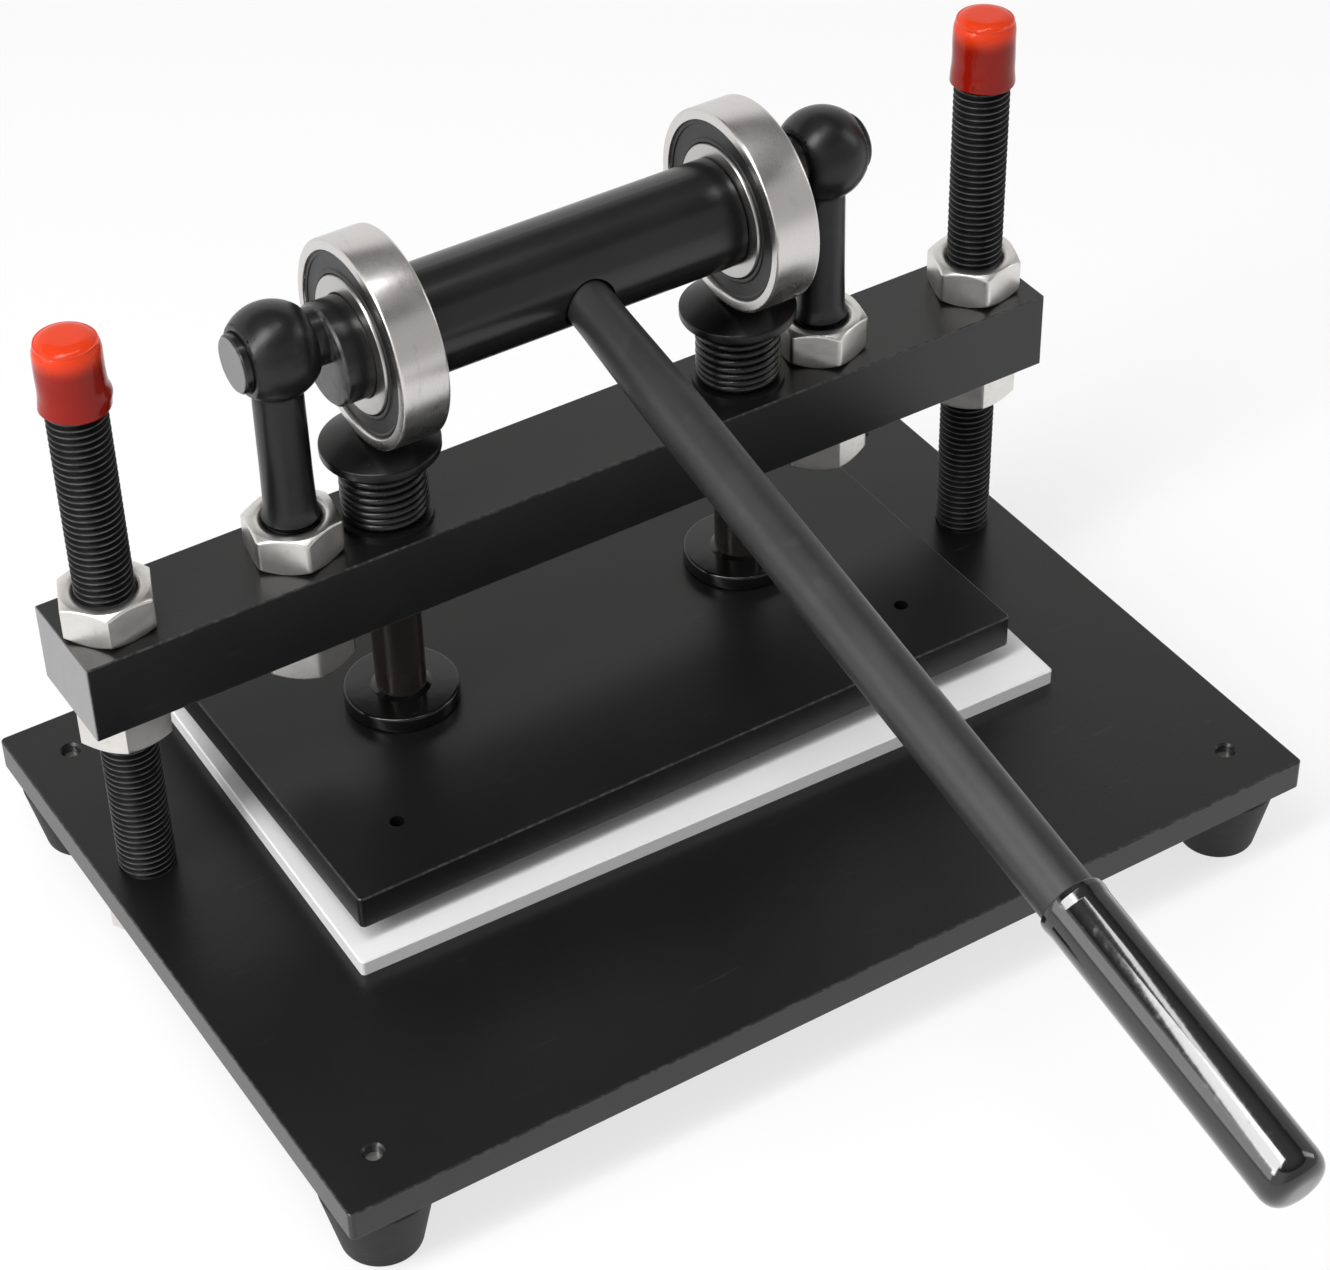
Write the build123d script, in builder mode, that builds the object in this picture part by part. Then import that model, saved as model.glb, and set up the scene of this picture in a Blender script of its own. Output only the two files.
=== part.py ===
"""Bench die cutting press: lever, eccentric shaft with two roller bearings, sprung pressing plate.

Millimetres. +Z is up, +X runs along the crossbeam and -Y is the side the lever points to.
The origin is on the ground, in the middle of the whole press, lever included.
"""

import os
from math import cos, hypot, pi, radians, sin, sqrt, tan

from build123d import *

os.makedirs("parts", exist_ok=True)

# Base plate and feet
base_width = 380.0
base_depth = 265.0
base_thick = 12.0
base_corner = 2.0
plate_edge = 0.4
foot_height = 28.0
foot_top_radius = 19.4
foot_bottom_radius = 13.5
foot_round = 1.6
foot_inset_x = 19.0
foot_inset_y = 19.5
foot_recess_radius = 8.0
foot_recess_depth = 13.0
foot_screw_radius = 3.0
foot_screw_head_radius = 5.0
foot_screw_head_height = 3.6
foot_screw_short = 3.5
foot_hole_flare = 0.8
washer_radius = 6.8
washer_thick = 1.4

# Columns and their nuts
column_radius = 10.0
column_inset_x = 17.5
column_top = 216.8
column_below = 13.0
column_edge = 1.5
nut_flats = 30.0
upper_nut_height = 14.0
lower_nut_height = 15.0
base_nut_height = 10.0
nut_bore_bevel = 1.5
nut_bevel_rise = 1.6
column_nut_turn = 8.0
eye_nut_turn = 21.0
cap_height = 25.5
cap_wall = 0.9
cap_top_wall = 1.6
cap_round = 4.0
cap_lip = 0.6

# Crossbeam
beam_depth = 40.0
beam_height = 30.0
beam_offset_y = 46.5
beam_lift = 77.0
beam_edge = 0.4

# Eye bolts
eye_beside_bearing = 34.5
eye_radius = 16.5
eye_half_width = 11.4
eye_shank_radius = 8.5
eye_thread_radius = 10.0
eye_thread_above = 3.3
eye_thread_below = 3.5
pin_lift = 186.5

# Eccentric shaft
journal_radius = 10.0
journal_past_eye = 14.5
journal_edge = 0.8
cam_throw = 7.4
cam_lead_angle = 15.0
seat_radius = 17.5
seat_past_bearing = 18.5
bar_radius = 19.0
bar_edge = 0.8

# Bearings
bearing_spacing = 141.0
bearing_radius = 36.0
bearing_width = 17.0
bearing_edge = 1.1
inner_land_radius = 23.8
outer_land_radius = 31.8
ball_radius = 5.55
ball_count = 9
groove_gap = 0.15
cage_wall = 2.4
cage_half_width = 6.2
seal_thick = 1.2
seal_inset = 0.7

# Lever and grip
lever_radius = 9.5
lever_angle = 12.5
lever_length = 392.5
lever_root = 8.0
lever_stub_radius = 6.0
lever_stub_end = -12.0
grip_start = 287.5
grip_wall = 1.2
grip_end_wall = 2.6
grip_round = 6.0
grip_lip = 0.6

# Lever swing used to set the follower, in degrees from rest: up lifts the plate
lever_swing_up = 75.0
lever_swing_down = 15.0
follow_angle = 42.0
roller_gap = 0.1

# Plungers and springs
plunger_radius = 9.0
head_radius = 20.5
head_rim = 3.5
head_dome_rise = 5.1
head_spigot_radius = 6.0
head_spigot_height = 5.0
flange_radius = 20.5
flange_thick = 6.0
flange_edge = 1.0
bush_wall = 4.0
spring_radius = 13.7
spring_wire = 2.6
spring_turns = 6
spring_seat_thick = 1.5
plunger_screw_radius = 4.0
plunger_screw_head_radius = 8.0
plunger_screw_reach = 14.0
plunger_screw_sink = 0.5

# Pressing plate and cutting board
plate_width = 265.0
plate_depth = 166.0
plate_thick = 13.0
plate_gap = 7.0
plate_hole_radius = 2.6
plate_hole_depth = 9.0
plate_hole_inset_x = 29.0
plate_hole_inset_y = 27.0
board_width = 280.0
board_depth = 178.0
board_thick = 6.0
board_corner = 1.5
board_edge = 0.5
board_shift_x = 4.6
board_shift_y = -4.5
board_turn = -1.3

# Fits
thread_gap = 0.05
slide_gap = 0.05
clear_gap = 0.3
snug_gap = 0.02

# Places worked out from the sizes
beam_length = base_width
column_spacing = base_width - 2 * column_inset_x
eye_spacing = bearing_spacing + 2 * eye_beside_bearing
journal_half_length = eye_spacing / 2 + journal_past_eye
seat_half_length = bearing_spacing / 2 + seat_past_bearing
grip_radius = lever_radius + grip_wall
grip_end = lever_length + grip_end_wall
lever_tip_reach = (
    (grip_end - grip_round) * cos(radians(lever_angle))
    + (grip_radius - grip_round) * sin(radians(lever_angle))
    + grip_round
)
cam_back = cam_throw * sin(radians(cam_lead_angle))
base_y = (lever_tip_reach - base_depth / 2 - beam_offset_y + cam_back) / 2
beam_y = base_y + beam_offset_y
base_bottom = foot_height
base_top = base_bottom + base_thick
beam_bottom = base_top + beam_lift
beam_top = beam_bottom + beam_height
pin_z = base_top + pin_lift
cam_y = beam_y - cam_back
cam_z = pin_z - cam_throw * cos(radians(cam_lead_angle))
board_top = base_top + board_thick
plate_bottom = board_top + plate_gap
plate_top = plate_bottom + plate_thick
column_top_z = base_top + column_top
column_bottom_z = base_bottom - column_below
cap_top_z = column_top_z + cap_top_wall

foot_x = base_width / 2 - foot_inset_x
foot_y = base_depth / 2 - foot_inset_y
foot_places = {
    "foot_front_left": (-foot_x, base_y - foot_y),
    "foot_front_right": (foot_x, base_y - foot_y),
    "foot_back_left": (-foot_x, base_y + foot_y),
    "foot_back_right": (foot_x, base_y + foot_y),
}
sides = {"left": -1, "right": 1}
column_places = [(side * column_spacing / 2, beam_y) for side in sides.values()]
eye_places = [(side * eye_spacing / 2, beam_y) for side in sides.values()]
plunger_places = [(side * bearing_spacing / 2, beam_y) for side in sides.values()]

# The head's top stays under the rollers over the whole swing, with a constant follow ratio
head_dome_radius = (head_radius**2 + head_dome_rise**2) / (2 * head_dome_rise)
follow_ratio = cam_throw * sin(radians(follow_angle))


def head_limit(lift_angle):
    """Highest head top that clears the roller, with the lever lifted by lift_angle degrees."""
    turn = radians(cam_lead_angle + lift_angle)
    offset = cam_throw * sin(turn)
    centres = bearing_radius + head_dome_radius
    roller_z = pin_z - cam_throw * cos(turn)
    return roller_z + head_dome_radius - sqrt(centres**2 - offset**2)


head_top = min(
    head_limit(angle) - follow_ratio * radians(angle)
    for angle in range(-int(lever_swing_down), int(lever_swing_up) + 1)
)
head_top -= roller_gap
head_rim_top = head_top - head_dome_rise
head_bottom = head_rim_top - head_rim
spring_bottom = beam_top + spring_seat_thick
bearing_pitch_radius = (inner_land_radius + outer_land_radius) / 2
groove_radius = ball_radius + groove_gap

lever_plane = Plane(
    origin=(0, cam_y, cam_z),
    x_dir=(1, 0, 0),
    z_dir=(0, -cos(radians(lever_angle)), -sin(radians(lever_angle))),
)


def save(builder, name):
    """Label one finished piece and write it as its own file."""
    builder.part.label = name
    export_step(builder.part, f"parts/{name}.step")


def upright(x, y):
    """Sketch plane through a vertical axis at x, y: its own X is outwards, its own Y is up."""
    return Plane(origin=(x, y, 0), x_dir=(1, 0, 0), z_dir=(0, -1, 0))


def turned(axis_y, axis_z):
    """Sketch plane through a shaft's axis, for profiles that turn about it."""
    return Plane(origin=(0, axis_y, axis_z), x_dir=(1, 0, 0), z_dir=(0, -1, 0))


def turned_axis(axis_y, axis_z):
    """The axis of a shaft that runs along X."""
    return Axis((0, axis_y, axis_z), (1, 0, 0))


def hex_nut(bore_radius, turn, height):
    """A hexagon nut standing on the origin, bevelled at both faces and at its bore."""
    corner = nut_flats / sqrt(3)
    bevel = corner - nut_flats / 2 + 0.3
    with BuildPart() as nut:
        with BuildSketch():
            RegularPolygon(nut_flats / 2, 6, major_radius=False, rotation=turn)
        extrude(amount=height)
        with BuildSketch(Plane.XZ):
            Polygon(
                (0, 0),
                (corner - bevel, 0),
                (corner + 0.1, nut_bevel_rise),
                (corner + 0.1, height - nut_bevel_rise),
                (corner - bevel, height),
                (0, height),
                align=None,
            )
        revolve(axis=Axis.Z, mode=Mode.INTERSECT)
        with BuildSketch():
            Circle(bore_radius)
        extrude(amount=height, mode=Mode.SUBTRACT)
        chamfer(nut.edges().filter_by(GeomType.CIRCLE).group_by(SortBy.RADIUS)[0], nut_bore_bevel)
    return nut.part


# Base plate
with BuildPart() as base_plate:
    with BuildSketch(Plane.XY.offset(base_bottom)):
        with Locations((0, base_y)):
            RectangleRounded(base_width, base_depth, base_corner)
    extrude(amount=base_thick)
    outline = base_plate.faces().sort_by(Axis.Z)[-1].edges() + base_plate.faces().sort_by(Axis.Z)[0].edges()
    chamfer(outline, plate_edge)
    with BuildSketch(Plane.XY.offset(base_bottom)):
        with Locations(*column_places):
            Circle(column_radius + thread_gap)
        with Locations(*foot_places.values()):
            Circle(foot_screw_radius + thread_gap)
    extrude(amount=base_thick, mode=Mode.SUBTRACT)
    rims = base_plate.edges().filter_by(GeomType.CIRCLE).group_by(Axis.Z)[-1]
    screw_rims = rims.filter_by(lambda e: abs(e.radius - foot_screw_radius - thread_gap) < 0.01)
    chamfer(screw_rims, foot_hole_flare)
save(base_plate, "base_plate")

# Four tapered rubber feet
for name, (x, y) in foot_places.items():
    with BuildPart() as foot:
        with BuildSketch(upright(x, y)):
            with BuildLine():
                Polyline(
                    (0, 0),
                    (foot_bottom_radius, 0),
                    (foot_top_radius, foot_height),
                    (0, foot_height),
                    (0, 0),
                )
            make_face()
        revolve(axis=Axis((x, y, 0), (0, 0, 1)))
        rims = foot.edges().filter_by(GeomType.CIRCLE)
        fillet(rims, foot_round)
        with BuildSketch(Plane.XY):
            with Locations((x, y)):
                Circle(foot_recess_radius)
        extrude(amount=foot_recess_depth, mode=Mode.SUBTRACT)
        with BuildSketch(Plane.XY):
            with Locations((x, y)):
                Circle(foot_screw_radius + clear_gap)
        extrude(amount=foot_height, mode=Mode.SUBTRACT)
    save(foot, name)

# Washers and screws that hold the feet, inside their recesses
washer_bottom = foot_recess_depth - washer_thick
with BuildPart() as foot_washers:
    with BuildSketch(Plane.XY.offset(washer_bottom)):
        with Locations(*foot_places.values()):
            Circle(washer_radius)
            Circle(foot_screw_radius + clear_gap, mode=Mode.SUBTRACT)
    extrude(amount=washer_thick)
save(foot_washers, "foot_washers")

with BuildPart() as foot_screws:
    with BuildSketch(Plane.XY.offset(washer_bottom - foot_screw_head_height)):
        with Locations(*foot_places.values()):
            Circle(foot_screw_head_radius)
            RegularPolygon(foot_screw_radius * 0.8, 6, mode=Mode.SUBTRACT)
    extrude(amount=foot_screw_head_height * 0.6)
    with BuildSketch(Plane.XY.offset(washer_bottom - foot_screw_head_height * 0.4)):
        with Locations(*foot_places.values()):
            Circle(foot_screw_head_radius)
    extrude(amount=foot_screw_head_height * 0.4)
    with BuildSketch(Plane.XY.offset(washer_bottom)):
        with Locations(*foot_places.values()):
            Circle(foot_screw_radius)
    extrude(amount=base_top - foot_screw_short - washer_bottom)
save(foot_screws, "foot_screws")

# Threaded columns, drawn as plain bars of the thread's outer size
for side, (x, y) in zip(sides, column_places):
    with BuildPart() as column:
        with BuildSketch(Plane.XY.offset(column_bottom_z)):
            with Locations((x, y)):
                Circle(column_radius)
        extrude(amount=column_top_z - column_bottom_z)
        chamfer(column.edges().filter_by(GeomType.CIRCLE), column_edge)
    save(column, f"column_{side}")


def nut_group(name, places, bottom, radius, turns, height):
    """A node of identical nuts, one on each place, all with the same underside height."""
    with BuildPart() as group:
        for (x, y), turn in zip(places, turns):
            with Locations((x, y, bottom)):
                add(hex_nut(radius + thread_gap, turn, height))
    save(group, name)


column_turns = (column_nut_turn, column_nut_turn + 4)
eye_turns = (eye_nut_turn, eye_nut_turn)
lower_nut_bottom = beam_bottom - lower_nut_height
nut_group(
    "base_nuts", column_places, base_bottom - base_nut_height, column_radius, column_turns, base_nut_height
)
nut_group(
    "column_lower_nuts", column_places, lower_nut_bottom, column_radius, column_turns, lower_nut_height
)
nut_group("column_upper_nuts", column_places, beam_top, column_radius, column_turns, upper_nut_height)
nut_group("eye_lower_nuts", eye_places, lower_nut_bottom, eye_thread_radius, eye_turns, lower_nut_height)
nut_group("eye_upper_nuts", eye_places, beam_top, eye_thread_radius, eye_turns, upper_nut_height)

# Soft caps over the column ends
for side, (x, y) in zip(sides, column_places):
    inner = column_radius + snug_gap
    outer = inner + cap_wall
    low = cap_top_z - cap_height
    with BuildPart() as cap:
        with BuildSketch(upright(x, y)):
            with BuildLine():
                Polyline(
                    (inner, low + 0.4),
                    (inner, column_top_z),
                    (0, column_top_z),
                    (0, cap_top_z - 0.5),
                    (outer - cap_round - 1.5, cap_top_z),
                    (outer - cap_round, cap_top_z),
                )
                TangentArc(
                    (outer - cap_round, cap_top_z),
                    (outer, cap_top_z - cap_round),
                    tangent=(1, 0),
                )
                Polyline(
                    (outer, cap_top_z - cap_round),
                    (outer, low + 5),
                    (outer + cap_lip, low + 2),
                    (outer + cap_lip, low + 0.6),
                    (outer + cap_lip - 0.5, low),
                    (inner + 0.5, low),
                    (inner, low + 0.4),
                )
            make_face()
        revolve(axis=Axis((x, y, 0), (0, 0, 1)))
    save(cap, f"cap_{side}")

# Crossbeam, drilled for columns, eye bolts and plunger bushes
with BuildPart() as crossbeam:
    with BuildSketch(Plane.XY.offset(beam_bottom)):
        with Locations((0, beam_y)):
            Rectangle(beam_length, beam_depth)
    extrude(amount=beam_height)
    chamfer(crossbeam.edges(), beam_edge)
    with BuildSketch(Plane.XY.offset(beam_bottom)):
        with Locations(*column_places):
            Circle(column_radius + clear_gap)
        with Locations(*eye_places):
            Circle(eye_thread_radius + clear_gap)
        with Locations(*plunger_places):
            Circle(plunger_radius + bush_wall)
    extrude(amount=beam_height, mode=Mode.SUBTRACT)
save(crossbeam, "crossbeam")

with BuildPart() as guide_bushes:
    with BuildSketch(Plane.XY.offset(beam_bottom)):
        with Locations(*plunger_places):
            Circle(plunger_radius + bush_wall - snug_gap)
            Circle(plunger_radius + slide_gap, mode=Mode.SUBTRACT)
    extrude(amount=beam_height)
save(guide_bushes, "guide_bushes")

# Eye bolts: a ball with two flats and a cross bore, a plain shank and a threaded end
eye_thread_top = beam_top + upper_nut_height + eye_thread_above
eye_thread_bottom = lower_nut_bottom - eye_thread_below
for side, (x, y) in zip(sides, eye_places):
    with BuildPart() as eye_bolt:
        with Locations((x, y, pin_z)):
            Sphere(eye_radius)
        with BuildSketch(Plane.YZ.offset(x - eye_half_width)):
            with Locations((y, pin_z)):
                Circle(eye_radius + 1)
        extrude(amount=2 * eye_half_width, mode=Mode.INTERSECT)
        with BuildSketch(Plane.XY.offset(eye_thread_top - 1)):
            with Locations((x, y)):
                Circle(eye_shank_radius)
        extrude(amount=pin_z - eye_radius + 4 - eye_thread_top + 1)
        neck = eye_bolt.edges().filter_by(lambda e: e.center().Z > pin_z - eye_radius - 1)
        neck = neck.filter_by(lambda e: e.center().Z < pin_z - eye_radius + 5)
        fillet(neck, 2.5)
        with BuildSketch(upright(x, y)):
            Polygon(
                (0, eye_thread_bottom),
                (eye_thread_radius - 1.5, eye_thread_bottom),
                (eye_thread_radius, eye_thread_bottom + 1.5),
                (eye_thread_radius, eye_thread_top - 2),
                (eye_shank_radius, eye_thread_top),
                (0, eye_thread_top),
                align=None,
            )
        revolve(axis=Axis((x, y, 0), (0, 0, 1)))
        with BuildSketch(Plane.YZ.offset(x - eye_half_width)):
            with Locations((y, pin_z)):
                Circle(journal_radius + slide_gap)
        extrude(amount=2 * eye_half_width, mode=Mode.SUBTRACT)
    save(eye_bolt, f"eye_bolt_{side}")

# Eccentric shaft: bar and bearing seats on one axis, journals on the pin axis
shoulder = bearing_spacing / 2 - bearing_width / 2
with BuildPart() as cam_shaft:
    with BuildSketch(turned(cam_y, cam_z)):
        Polygon(
            (-seat_half_length, 0),
            (-seat_half_length, seat_radius - bar_edge),
            (-seat_half_length + bar_edge, seat_radius),
            (-shoulder, seat_radius),
            (-shoulder, bar_radius - bar_edge),
            (-shoulder + bar_edge, bar_radius),
            (shoulder - bar_edge, bar_radius),
            (shoulder, bar_radius - bar_edge),
            (shoulder, seat_radius),
            (seat_half_length - bar_edge, seat_radius),
            (seat_half_length, seat_radius - bar_edge),
            (seat_half_length, 0),
            align=None,
        )
    revolve(axis=turned_axis(cam_y, cam_z))
    with BuildSketch(turned(beam_y, pin_z)):
        for side in sides.values():
            Polygon(
                (side * (seat_half_length - 3), 0),
                (side * (seat_half_length - 3), journal_radius),
                (side * (journal_half_length - journal_edge), journal_radius),
                (side * journal_half_length, journal_radius - journal_edge),
                (side * journal_half_length, 0),
                align=None,
            )
    revolve(axis=turned_axis(beam_y, pin_z))
    with BuildSketch(lever_plane.offset(lever_root)):
        Circle(lever_radius + slide_gap)
    extrude(amount=bar_radius, mode=Mode.SUBTRACT)
    with BuildSketch(lever_plane.offset(lever_stub_end)):
        Circle(lever_stub_radius + thread_gap)
    extrude(amount=lever_root - lever_stub_end, mode=Mode.SUBTRACT)
save(cam_shaft, "cam_shaft")

# Lever, screwed into the bar by a turned-down stub
with BuildPart() as lever:
    with BuildSketch(lever_plane.offset(lever_root)):
        Circle(lever_radius)
    extrude(amount=lever_length - lever_root)
    chamfer(lever.edges().filter_by(GeomType.CIRCLE), 1.0)
    with BuildSketch(lever_plane.offset(lever_stub_end)):
        Circle(lever_stub_radius)
    extrude(amount=lever_root - lever_stub_end + 0.5)
save(lever, "lever")

# Dipped grip sleeve with a round closed end
sleeve_bore = lever_radius + snug_gap
with BuildPart() as lever_grip:
    with BuildSketch(Plane(origin=lever_plane.origin, x_dir=lever_plane.z_dir, z_dir=(1, 0, 0))):
        with BuildLine():
            Polyline(
                (grip_start, sleeve_bore),
                (lever_length, sleeve_bore),
                (lever_length, 0),
                (grip_end, 0),
                (grip_end, grip_radius - grip_round),
            )
            TangentArc(
                (grip_end, grip_radius - grip_round),
                (grip_end - grip_round, grip_radius),
                tangent=(0, 1),
            )
            Polyline(
                (grip_end - grip_round, grip_radius),
                (grip_start + grip_lip, grip_radius),
                (grip_start, grip_radius - grip_lip),
                (grip_start, sleeve_bore),
            )
        make_face()
    revolve(axis=Axis(lever_plane.origin, lever_plane.z_dir))
save(lever_grip, "lever_grip")


# Deep-groove bearings, one by each end of the bar
def bearing_ring(name, x, inside, outside, groove_from):
    """A ring with broken edges and a ball groove on the side that faces the balls."""
    half = bearing_width / 2
    with BuildPart() as ring:
        with BuildSketch(turned(cam_y, cam_z)):
            with Locations((x, (inside + outside) / 2)):
                Rectangle(bearing_width, outside - inside)
            with Locations((x, bearing_pitch_radius)):
                Circle(groove_radius, mode=Mode.SUBTRACT)
        revolve(axis=turned_axis(cam_y, cam_z))
        ends = ring.edges().filter_by(GeomType.CIRCLE)
        ends = ends.filter_by(lambda e: abs(abs(e.center().X - x) - half) < 0.01)
        chamfer(ends.filter_by(lambda e: abs(e.radius - groove_from) > 0.01), bearing_edge)
    save(ring, name)


for side, sign in sides.items():
    centre_x = sign * bearing_spacing / 2
    bearing_ring(f"outer_ring_{side}", centre_x, outer_land_radius, bearing_radius, outer_land_radius)
    bearing_ring(f"inner_ring_{side}", centre_x, seat_radius + snug_gap, inner_land_radius, inner_land_radius)

    ball_plane = Plane(origin=(centre_x, cam_y, cam_z), x_dir=(0, 1, 0), z_dir=(1, 0, 0))
    with BuildPart() as balls:
        with Locations(ball_plane):
            with PolarLocations(bearing_pitch_radius, ball_count):
                Sphere(ball_radius)
    save(balls, f"bearing_balls_{side}")

    with BuildPart() as cage:
        with BuildSketch(ball_plane.offset(-cage_half_width)):
            Circle(bearing_pitch_radius + cage_wall / 2)
            Circle(bearing_pitch_radius - cage_wall / 2, mode=Mode.SUBTRACT)
        extrude(amount=2 * cage_half_width)
        with Locations(ball_plane):
            with PolarLocations(bearing_pitch_radius, ball_count):
                Cylinder(groove_radius, 4 * cage_wall, rotation=(0, 90, 0), mode=Mode.SUBTRACT)
    save(cage, f"bearing_cage_{side}")

    with BuildPart() as seals:
        for face in (-1, 1):
            low = min(face * (bearing_width / 2 - seal_inset), face * (bearing_width / 2 - seal_inset - seal_thick))
            with BuildSketch(ball_plane.offset(low)):
                Circle(outer_land_radius - snug_gap)
                Circle(inner_land_radius + clear_gap, mode=Mode.SUBTRACT)
            extrude(amount=seal_thick)
    save(seals, f"bearing_seals_{side}")

# Plungers: post, domed head, welded foot flange
for side, (x, y) in zip(sides, plunger_places):
    with BuildPart() as post:
        with BuildSketch(upright(x, y)):
            Polygon(
                (plunger_screw_radius + thread_gap, plate_top),
                (plunger_radius, plate_top),
                (plunger_radius, head_bottom),
                (head_spigot_radius, head_bottom),
                (head_spigot_radius, head_bottom + head_spigot_height),
                (0, head_bottom + head_spigot_height),
                (0, plate_top + plunger_screw_reach + 2),
                (plunger_screw_radius + thread_gap, plate_top + plunger_screw_reach + 2),
                align=None,
            )
        revolve(axis=Axis((x, y, 0), (0, 0, 1)))
    save(post, f"plunger_post_{side}")

    with BuildPart() as head:
        with BuildSketch(upright(x, y)):
            spigot_bore = head_spigot_radius + snug_gap
            spigot_top = head_bottom + head_spigot_height
            with BuildLine():
                Polyline(
                    (0, head_top),
                    (0, spigot_top),
                    (spigot_bore, spigot_top),
                    (spigot_bore, head_bottom),
                    (head_radius - 1, head_bottom),
                    (head_radius, head_bottom + 1),
                    (head_radius, head_rim_top),
                )
                RadiusArc((head_radius, head_rim_top), (0, head_top), -head_dome_radius)
            make_face()
        revolve(axis=Axis((x, y, 0), (0, 0, 1)))
    save(head, f"plunger_head_{side}")

    with BuildPart() as flange:
        with BuildSketch(Plane.XY.offset(plate_top)):
            with Locations((x, y)):
                Circle(flange_radius)
        extrude(amount=flange_thick)
        chamfer(flange.edges().filter_by(GeomType.CIRCLE), flange_edge)
        with BuildSketch(Plane.XY.offset(plate_top)):
            with Locations((x, y)):
                Circle(plunger_radius + snug_gap)
        extrude(amount=flange_thick, mode=Mode.SUBTRACT)
    save(flange, f"plunger_flange_{side}")


# Return springs: one unbroken wire each, on quarter-turn pairs of arcs
def helix_point(x, y, start_z, pitch, turns):
    """Point and unit direction on the spring's centre line after some turns."""
    angle = 2 * pi * turns
    point = Vector(x + spring_radius * cos(angle), y + spring_radius * sin(angle), start_z + pitch * turns)
    heading = Vector(-sin(angle), cos(angle), pitch / (2 * pi * spring_radius)).normalized()
    return point, heading


def arc_pair_joint(start, start_heading, end, end_heading):
    """Point where two arcs meet that leave one point and reach another in the given directions."""
    chord = end - start
    along = chord.dot(start_heading + end_heading)
    bend = 2 * (start_heading.dot(end_heading) - 1)
    reach = (2 * along - sqrt(4 * along**2 - 4 * bend * chord.dot(chord))) / (2 * bend)
    return (start + start_heading * reach + end - end_heading * reach) / 2


spring_start = spring_bottom + spring_wire / 2
spring_pitch = (head_bottom - spring_bottom - spring_wire) / spring_turns
for side, (x, y) in zip(sides, plunger_places):
    knots = [helix_point(x, y, spring_start, spring_pitch, n / 4) for n in range(4 * spring_turns + 1)]
    with BuildPart() as spring:
        with BuildLine() as wire_path:
            for (start, start_heading), (end, end_heading) in zip(knots, knots[1:]):
                middle = arc_pair_joint(start, start_heading, end, end_heading)
                first = TangentArc(start, middle, tangent=start_heading)
                TangentArc(middle, end, tangent=first % 1)
        with BuildSketch(Plane(origin=knots[0][0], z_dir=knots[0][1])):
            Circle(spring_wire / 2)
        sweep(path=wire_path.wires()[0])
    samples = [helix_point(x, y, spring_start, spring_pitch, n / 48)[0] for n in range(48 * spring_turns + 1)]
    nearest = min(
        (samples[i] - samples[j]).length
        for i in range(len(samples))
        for j in range(i + 24, min(i + 72, len(samples)))
    )
    print(f"spring_{side}: least gap to itself {nearest - spring_wire:.2f} mm")
    save(spring, f"spring_{side}")

with BuildPart() as spring_seats:
    with BuildSketch(Plane.XY.offset(beam_top)):
        with Locations(*plunger_places):
            Circle(spring_radius + spring_wire)
            Circle(plunger_radius + clear_gap, mode=Mode.SUBTRACT)
    extrude(amount=spring_seat_thick)
save(spring_seats, "spring_seats")

# Pressing plate with countersunk screw holes below the posts and four tapped corner holes
plate_hole_x = plate_width / 2 - plate_hole_inset_x
plate_hole_y = plate_depth / 2 - plate_hole_inset_y
sink_depth = plunger_screw_head_radius - plunger_screw_radius
with BuildPart() as pressing_plate:
    with BuildSketch(Plane.XY.offset(plate_bottom)):
        with Locations((0, beam_y)):
            RectangleRounded(plate_width, plate_depth, base_corner)
    extrude(amount=plate_thick)
    outline = (
        pressing_plate.faces().sort_by(Axis.Z)[-1].edges()
        + pressing_plate.faces().sort_by(Axis.Z)[0].edges()
    )
    chamfer(outline, plate_edge)
    with BuildSketch(Plane.XY.offset(plate_top)):
        with Locations((0, beam_y)):
            with GridLocations(2 * plate_hole_x, 2 * plate_hole_y, 2, 2):
                Circle(plate_hole_radius)
    extrude(amount=-plate_hole_depth, mode=Mode.SUBTRACT)
    for x, y in plunger_places:
        with BuildSketch(upright(x, y)):
            Polygon(
                (0, plate_bottom),
                (plunger_screw_head_radius + clear_gap, plate_bottom),
                (plunger_screw_head_radius + clear_gap, plate_bottom + plunger_screw_sink),
                (plunger_screw_radius + clear_gap, plate_bottom + plunger_screw_sink + sink_depth),
                (plunger_screw_radius + clear_gap, plate_top),
                (0, plate_top),
                align=None,
            )
        revolve(axis=Axis((x, y, 0), (0, 0, 1)), mode=Mode.SUBTRACT)
save(pressing_plate, "pressing_plate")

with BuildPart() as plunger_screws:
    for x, y in plunger_places:
        with BuildSketch(upright(x, y)):
            Polygon(
                (0, plate_bottom + plunger_screw_sink + 2.5),
                (2.4, plate_bottom + plunger_screw_sink + 2.5),
                (2.4, plate_bottom + plunger_screw_sink),
                (plunger_screw_head_radius, plate_bottom + plunger_screw_sink),
                (plunger_screw_radius, plate_bottom + plunger_screw_sink + sink_depth),
                (plunger_screw_radius, plate_top + plunger_screw_reach),
                (0, plate_top + plunger_screw_reach),
                align=None,
            )
        revolve(axis=Axis((x, y, 0), (0, 0, 1)))
save(plunger_screws, "plunger_screws")

# Loose cutting board, lying a little askew on the base
board_plane = Plane(
    origin=(board_shift_x, beam_y + board_shift_y, base_top),
    x_dir=(cos(radians(board_turn)), sin(radians(board_turn)), 0),
    z_dir=(0, 0, 1),
)
with BuildPart() as cutting_board:
    with BuildSketch(board_plane):
        RectangleRounded(board_width, board_depth, board_corner)
    extrude(amount=board_thick)
    chamfer(cutting_board.faces().sort_by(Axis.Z)[-1].edges(), board_edge)
save(cutting_board, "cutting_board")

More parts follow.
